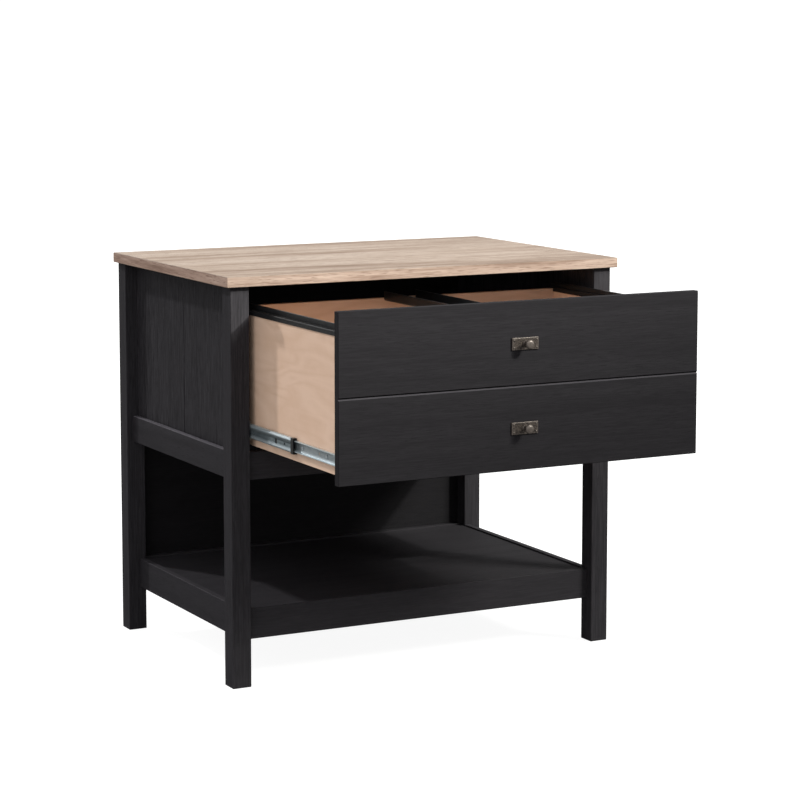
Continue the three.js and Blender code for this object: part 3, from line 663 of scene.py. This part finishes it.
# %% [markdown]
# The wavy grid is extruded to the plate's thickness. Bevelling only the front rim then gives a soft edge
# that catches the light, and the bevel's points are the ones that hands have rubbed.

# %% Plates
PLATE_THICKNESS = 2.6 * MM
RIM_BEVEL, RIM_SEGMENTS = 0.7 * MM, 3
RIM_WORN = 0.6
RIM_ANGLE, ON_FRONT = 1.0, 1e-6


def front_rim(bm, front):
    folded = [edge for edge in bm.edges if edge.is_manifold and edge.calc_face_angle() > RIM_ANGLE]
    return [edge for edge in folded if all(abs(vert.co.y - front) < ON_FRONT for vert in edge.verts)]


def pull_plate(label):
    low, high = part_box("pull_plate_" + label)
    bm = bmesh.new()
    worn = bm.verts.layers.float.new("worn")
    plate_grid(bm, low, high)
    front = high.y - PLATE_THICKNESS
    grown = new_verts(bmesh.ops.extrude_face_region(bm, geom=bm.faces[:]))
    bmesh.ops.translate(bm, vec=(0.0, -PLATE_THICKNESS, 0.0), verts=grown)
    bmesh.ops.recalc_face_normals(bm, faces=bm.faces)
    edge = bmesh.ops.bevel(bm, geom=front_rim(bm, front), offset=RIM_BEVEL, offset_type="OFFSET",
                           segments=RIM_SEGMENTS, profile=0.5, affect="EDGES", material=-1)
    for vert in edge["verts"]:
        vert[worn] = RIM_WORN
    add_rivets(bm, low, high, worn, front)
    piece = finished_piece(bm, "pull_plate_cast_" + label, "drawer", BRONZE)
    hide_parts("pull_plate_" + label)


for label in ("upper", "lower"):
    pull_plate(label)

# %% [markdown]
# ## Knobs
# The knob is a turned form: a foot on the plate, a waist for the fingers, and a round head with a soft rim
# and a slightly crowned face. A lathe profile swept by spin is how a turner would think of it, and a
# profile of points lets the waist and rim be smooth curves. Each point gives its radius and its height
# above the foot in millimetres, and how worn it is.

# %% Knob
KNOB_STEPS = 56
KNOB_PROFILE = [
    (0.00, 19.0, 0.75), (2.6, 18.93, 0.7), (4.6, 18.7, 0.7), (6.1, 18.25, 0.9), (7.3, 17.4, 1.0),
    (8.0, 16.2, 1.0), (8.3, 14.8, 0.8), (8.15, 13.3, 0.5), (7.4, 12.0, 0.3), (6.1, 10.9, 0.1),
    (5.0, 9.6, 0.0), (4.35, 7.9, 0.0), (4.2, 6.0, 0.0), (4.35, 4.2, 0.0), (4.9, 2.7, 0.1),
    (5.7, 1.85, 0.3), (6.1, 1.35, 0.5), (6.2, 0.8, 0.5), (6.2, 0.0, 0.1), (0.0, 0.0, 0.0),
]
SAME_POINT = 1e-7


def pull_knob(label):
    low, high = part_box("pull_knob_" + label)
    centre = (low + high) / 2
    bm = bmesh.new()
    worn = bm.verts.layers.float.new("worn")
    verts = []
    for radius, out, rubbed in KNOB_PROFILE:
        vert = bm.verts.new((centre.x + radius * MM, high.y - out * MM, centre.z))
        vert[worn] = rubbed
        verts.append(vert)
    edges = [bm.edges.new(pair) for pair in zip(verts, verts[1:])]
    bmesh.ops.spin(bm, geom=verts + edges, cent=centre, axis=(0.0, 1.0, 0.0), dvec=(0.0, 0.0, 0.0),
                   angle=math.tau, steps=KNOB_STEPS, use_merge=True)
    bmesh.ops.remove_doubles(bm, verts=bm.verts, dist=SAME_POINT)
    bmesh.ops.recalc_face_normals(bm, faces=bm.faces)
    piece = finished_piece(bm, "pull_knob_turned_" + label, "drawer", BRONZE)
    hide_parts("pull_knob_" + label)


for label in ("upper", "lower"):
    pull_knob(label)

# %% [markdown]
# ## Screw heads
# Each drawer member is held to the drawer side by small pan-head screws with a cross recess, and each
# outer member to the case by flat-head ones that leave the balls room. A head is a disc with a sunk cross.
# A five by five grid has that cross in it already: its rim is drawn out to a circle, the middle row and
# column are pushed in, and the rim is extruded down to make the head's edge.

# %% Crowned disc
GRID_CELLS = 5
CROSS_REACH = 0.62
CROWN_DROP = 0.35
AT_CENTRE = 1e-9


def crowned_disc(bm, radius, height):
    made = bmesh.ops.create_grid(bm, x_segments=GRID_CELLS, y_segments=GRID_CELLS, size=radius)["verts"]
    for vert in made:
        flat = Vector((vert.co.x, vert.co.y))
        reach = max(abs(flat.x), abs(flat.y))
        if reach > AT_CENTRE:
            rounder = flat.normalized() * reach
            share = (reach / radius) ** 2
            flat = flat.lerp(rounder, share)
        crown = height * (1.0 - CROWN_DROP * (flat.length / radius) ** 2)
        vert.co = (flat.x, flat.y, crown)
    return made


def in_cross(face, radius):
    middle = face.calc_center_median()
    half_cell = radius / GRID_CELLS
    near = min(abs(middle.x), abs(middle.y)) < half_cell / 2
    return near and max(abs(middle.x), abs(middle.y)) < CROSS_REACH * radius


print("a screw head starts from", GRID_CELLS ** 2, "cells")

# %% [markdown]
# Extruding the cross and moving it down gives the recess its walls. The faces that it leaves behind at the
# top are deleted, and the skirt's lower rim is closed by one face.

# %% Screw head
CROSS_DEPTH, CROSS_SHARE = 0.7 * MM, 0.6
ON_PLANE = 1e-9


def screw_head(bm, place, radius, height):
    """A head whose flat underside lies on the plane z = 0 of place, facing along +z"""
    made = crowned_disc(bm, radius, height)
    faces = list(dict.fromkeys(face for vert in made for face in vert.link_faces))
    edges = dict.fromkeys(edge for face in faces for edge in face.edges)
    cross = [face for face in faces if in_cross(face, radius)]
    rim = [edge for edge in edges if edge.is_boundary]
    lower = new_verts(bmesh.ops.extrude_edge_only(bm, edges=rim))
    for vert in lower:
        vert.co.z = 0.0
    sunk = new_verts(bmesh.ops.extrude_face_region(bm, geom=cross))
    bmesh.ops.translate(bm, vec=(0.0, 0.0, -min(CROSS_DEPTH, CROSS_SHARE * height)), verts=sunk)
    bmesh.ops.delete(bm, geom=[face for face in cross if face.is_valid], context="FACES_ONLY")
    open_edges = [edge for edge in bm.edges if edge.is_boundary]
    foot = [edge for edge in open_edges if all(abs(vert.co.z) < ON_PLANE for vert in edge.verts)]
    bmesh.ops.contextual_create(bm, geom=foot)
    bmesh.ops.transform(bm, matrix=place, verts=made + lower + sunk)


print("a cross is sunk by", CROSS_DEPTH / MM, "mm at most")

# %% [markdown]
# ## Screws in the slides
# The holes in the slides are part of the CAD solids, at these distances from each member's front end, so
# the heads go where the holes are. The drawer members' screws face the case, and the outer members' face
# the drawer: one turn about Y does both.

# %% Screws in the slides
PAN_RADIUS, PAN_HEIGHT = 3.3 * MM, 1.8 * MM
FLAT_RADIUS, FLAT_HEIGHT = 2.35 * MM, 0.9 * MM
INNER_SCREWS = [47.0 * MM, 143.0 * MM, 410.0 * MM]
OUTER_SCREWS = [37.0 * MM, 228.5 * MM, 420.0 * MM]
SHEET = 1.2 * MM
SIDEWAYS = math.radians(90)


def slide_screws(node, name, body, places, web, facing_out, radius, height):
    low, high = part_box(node)
    bm = bmesh.new()
    for along in places:
        turn = Matrix.Rotation(SIDEWAYS * facing_out, 4, "Y")
        place = Matrix.Translation((web, low.y + along, (low.z + high.z) / 2))
        screw_head(bm, place @ turn, radius, height)
    bmesh.ops.recalc_face_normals(bm, faces=bm.faces)
    finished_piece(bm, name, body, ZINC)


for label, side in (("left", -1), ("right", 1)):
    low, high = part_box("slide_inner_" + label)
    inner_web = (high.x if side < 0 else low.x) + side * SHEET
    slide_screws("slide_inner_" + label, "slide_inner_screws_" + label, "drawer", INNER_SCREWS,
                 inner_web, side, PAN_RADIUS, PAN_HEIGHT)
    low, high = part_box("slide_outer_" + label)
    outer_web = low.x if side < 0 else high.x
    slide_screws("slide_outer_" + label, "slide_outer_screws_" + label, "cabinet", OUTER_SCREWS,
                 outer_web, -side, FLAT_RADIUS, FLAT_HEIGHT)

# %% [markdown]
# ## Nails in the back panel
# A thin back panel is nailed into the rebates of the back legs and onto the shelf's back rail. The heads
# are the only thing that breaks up the back, and they tell the eye how big it is. One small domed disc is
# repeated along three edges.

# %% Back panel nails
NAIL_RADIUS, NAIL_RISE = 2.4 * MM, 0.45 * MM
NAIL_TAPER, NAIL_SEGMENTS = 0.7, 14
NAIL_INSET, NAIL_MARGIN = 4.0 * MM, 0.03
NAILS_UP, NAILS_ACROSS = 6, 7
BACKWARDS = math.radians(-90)


def nail_head(bm, x, y, z):
    made = bmesh.ops.create_cone(bm, cap_ends=True, segments=NAIL_SEGMENTS, radius1=NAIL_RADIUS,
                                 radius2=NAIL_RADIUS * NAIL_TAPER, depth=NAIL_RISE)
    turn = Matrix.Rotation(BACKWARDS, 4, "X")
    bmesh.ops.transform(bm, matrix=Matrix.Translation((x, y, z)) @ turn, verts=made["verts"])


def back_nails():
    low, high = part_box("back_panel")
    rail_low, rail_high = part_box("shelf_back_rail")
    y = high.y - NAIL_RISE / 2
    bm = bmesh.new()
    for step in range(NAILS_UP):
        z = low.z + NAIL_MARGIN + (high.z - low.z - 2 * NAIL_MARGIN) * step / (NAILS_UP - 1)
        nail_head(bm, low.x + NAIL_INSET, y, z)
        nail_head(bm, high.x - NAIL_INSET, y, z)
    for step in range(1, NAILS_ACROSS):
        x = low.x + (high.x - low.x) * step / NAILS_ACROSS
        nail_head(bm, x, y, (rail_low.z + rail_high.z) / 2)
    finished_piece(bm, "back_panel_nails", "cabinet", ZINC)


back_nails()

# %% [markdown]
# ## Floor
# A product is usually photographed on a seamless pale sweep. A very large disc just under the feet does
# the same from every side, because a curved backdrop would only work from the front. It glows a little,
# like a light table, so that the shadows on it stay faint.

# %% Floor
FLOOR_RADIUS, FLOOR_SEGMENTS = 60.0, 96
FLOOR_DROP = 0.4 * MM
FLOOR_GLOW, FLOOR_ROUGHNESS = 0.92, 0.9
PAPER, PAPER_FLECK, FLECK_SCALE = (0.21, 0.21, 0.21), (0.23, 0.23, 0.23), 3.0
WHITE = (1.0, 1.0, 1.0)


def floor_paper():
    constants = {"Roughness": FLOOR_ROUGHNESS, "Emission Color": opaque(WHITE)}
    material, tree, shader = new_finish("floor_paper", constants)
    fleck = clouded(tree, object_space(tree), FLECK_SCALE)
    seen = put(tree, "ShaderNodeLightPath").outputs["Is Camera Ray"]
    glow = combined(tree, "MULTIPLY", seen, FLOOR_GLOW)
    colour = mixed(tree, fleck, opaque(PAPER), opaque(PAPER_FLECK))
    plug(tree, shader, Base_Color=colour, Emission_Strength=glow)
    return material


def pale_floor():
    bm = bmesh.new()
    bmesh.ops.create_circle(bm, cap_ends=True, segments=FLOOR_SEGMENTS, radius=FLOOR_RADIUS)
    bmesh.ops.translate(bm, vec=(0.0, 0.0, -FLOOR_DROP), verts=bm.verts)
    mesh = bpy.data.meshes.new("floor")
    bm.to_mesh(mesh)
    bm.free()
    mesh.materials.append(floor_paper())
    floor = bpy.data.objects.new("floor", mesh)
    SCENE.collection.objects.link(floor)
    print("floor:", FLOOR_RADIUS, "m in radius")


pale_floor()

# %% [markdown]
# ## The room's light
# Soft white light comes from a pale ceiling and dimmer walls. A picture of a studio could give it, but a
# ramp over the height of the sky is enough. The backdrop itself is white wherever the camera looks.

# %% Room
WALLS, CEILING, BACKDROP = 0.36, 0.70, 1.10
DIM_UP_TO, BRIGHT_FROM = 0.20, 0.65


def studio():
    world = bpy.data.worlds.new("studio")
    world.use_nodes = True
    tree = world.node_tree
    direction = put(tree, "ShaderNodeTexCoord").outputs["Generated"]
    height = along_axes(tree, direction)["Z"]
    room = remapped(tree, height, (DIM_UP_TO, BRIGHT_FROM), (WALLS, CEILING))
    seen = put(tree, "ShaderNodeLightPath").outputs["Is Camera Ray"]
    strength = combined(tree, "MAXIMUM", room, combined(tree, "MULTIPLY", seen, BACKDROP))
    tree.links.new(strength, tree.nodes["Background"].inputs["Strength"])
    tree.nodes["Background"].inputs["Color"].default_value = opaque(WHITE)
    SCENE.world = world
    SCENE.view_settings.view_transform = "Standard"
    print("room:", world.name)


studio()

# %% [markdown]
# ## Lamps
# A broad sun lamp to the right and in front lays the open drawer's blurred shadow over the shelf and the
# left leg. A second one behind and to the left grazes the side panel, where the leg and the top throw
# crisp shadows, and a third, so wide that it throws none, fills in from the left. A spot lamp, lower than
# the first sun and small, draws the crisp shadows of the pulls and is aimed over the top. Stretched
# sideways and rolled until the stretch is level on the drawer, it lights the cabinet evenly across and its
# soft rim fades downwards. These two lamps in front are a touch warmer than the rest.

# %% Lamps
WARM_WHITE = (0.99, 1.0, 0.93)
FRONT_FROM, FRONT_SUN, FRONT_SPREAD = (0.57, -0.61, 0.64), 3.7, 18.0
BACK_FROM, BACK_SUN, BACK_SPREAD = (-0.367, 0.698, 0.614), 2.0, 3.0
FILL_FROM, FILL_SUN, FILL_SPREAD = (-0.70, -0.55, 0.42), 0.95, 70.0
SPOT_FROM, SPOT_WATTS, SPOT_AIM = (0.61, -0.61, 0.45), 2700.0, (0.0, -0.444, 1.29)
SPOT_ANGLE, SPOT_STRETCH, SPOT_ROLL, SPOT_RADIUS, SPOT_FADE = 15.6, 2.25, -24.8, 0.12, 1.0
LAMP_DISTANCE = 5.0


def add_lamp(name, kind, strength, source, colour=WHITE, aim=(0.0, 0.0, 0.0), roll=0.0):
    lamp = bpy.data.lights.new(name, kind)
    lamp.energy = strength
    lamp.color = colour
    holder = bpy.data.objects.new(name, lamp)
    towards = Vector(source).normalized()
    holder.location = Vector(aim) + towards * LAMP_DISTANCE
    turned = towards.to_track_quat("Z", "Y") @ Quaternion((0.0, 0.0, 1.0), math.radians(roll))
    holder.rotation_euler = turned.to_euler()
    holder.visible_camera = False
    SCENE.collection.objects.link(holder)
    return holder


front = add_lamp("front_sun", "SUN", FRONT_SUN, FRONT_FROM, WARM_WHITE)
front.data.angle = math.radians(FRONT_SPREAD)
back = add_lamp("back_sun", "SUN", BACK_SUN, BACK_FROM)
back.data.angle = math.radians(BACK_SPREAD)
fill = add_lamp("left_fill", "SUN", FILL_SUN, FILL_FROM)
fill.data.angle = math.radians(FILL_SPREAD)
spot = add_lamp("front_spot", "SPOT", SPOT_WATTS, SPOT_FROM, WARM_WHITE, SPOT_AIM, SPOT_ROLL)
spot.data.spot_size = math.radians(SPOT_ANGLE)
spot.data.spot_blend = SPOT_FADE
spot.data.shadow_soft_size = SPOT_RADIUS
spot.scale = (SPOT_STRETCH, 1.0, 1.0)
print("lamps:", front.name, back.name, fill.name, spot.name)

# %% [markdown]
# ## Camera
# The picture was taken with a long lens from the front left, a little above the top. Its upright lines are
# nearly parallel, which a small downward shift of the frame keeps, so the camera tilts down only a little.

# %% Camera
LENS_MM, SENSOR_MM, SHIFT_DOWN, SEES_TO = 113.42, 36.0, -0.1, 200.0
CAMERA_PLACE = (-2.23275, -4.22896, 1.22101)
LEVEL, TILT_DOWN, TURN_RIGHT = 90.0, 6.78, -27.68

camera = bpy.data.objects.new("camera", bpy.data.cameras.new("camera"))
camera.data.lens = LENS_MM
camera.data.sensor_width = SENSOR_MM
camera.data.shift_y = SHIFT_DOWN
camera.data.clip_end = SEES_TO
camera.location = CAMERA_PLACE
camera.rotation_euler = (math.radians(LEVEL - TILT_DOWN), 0.0, math.radians(TURN_RIGHT))
SCENE.collection.objects.link(camera)
SCENE.camera = camera
print("camera:", LENS_MM, "mm lens, tilted down", TILT_DOWN, "degrees")
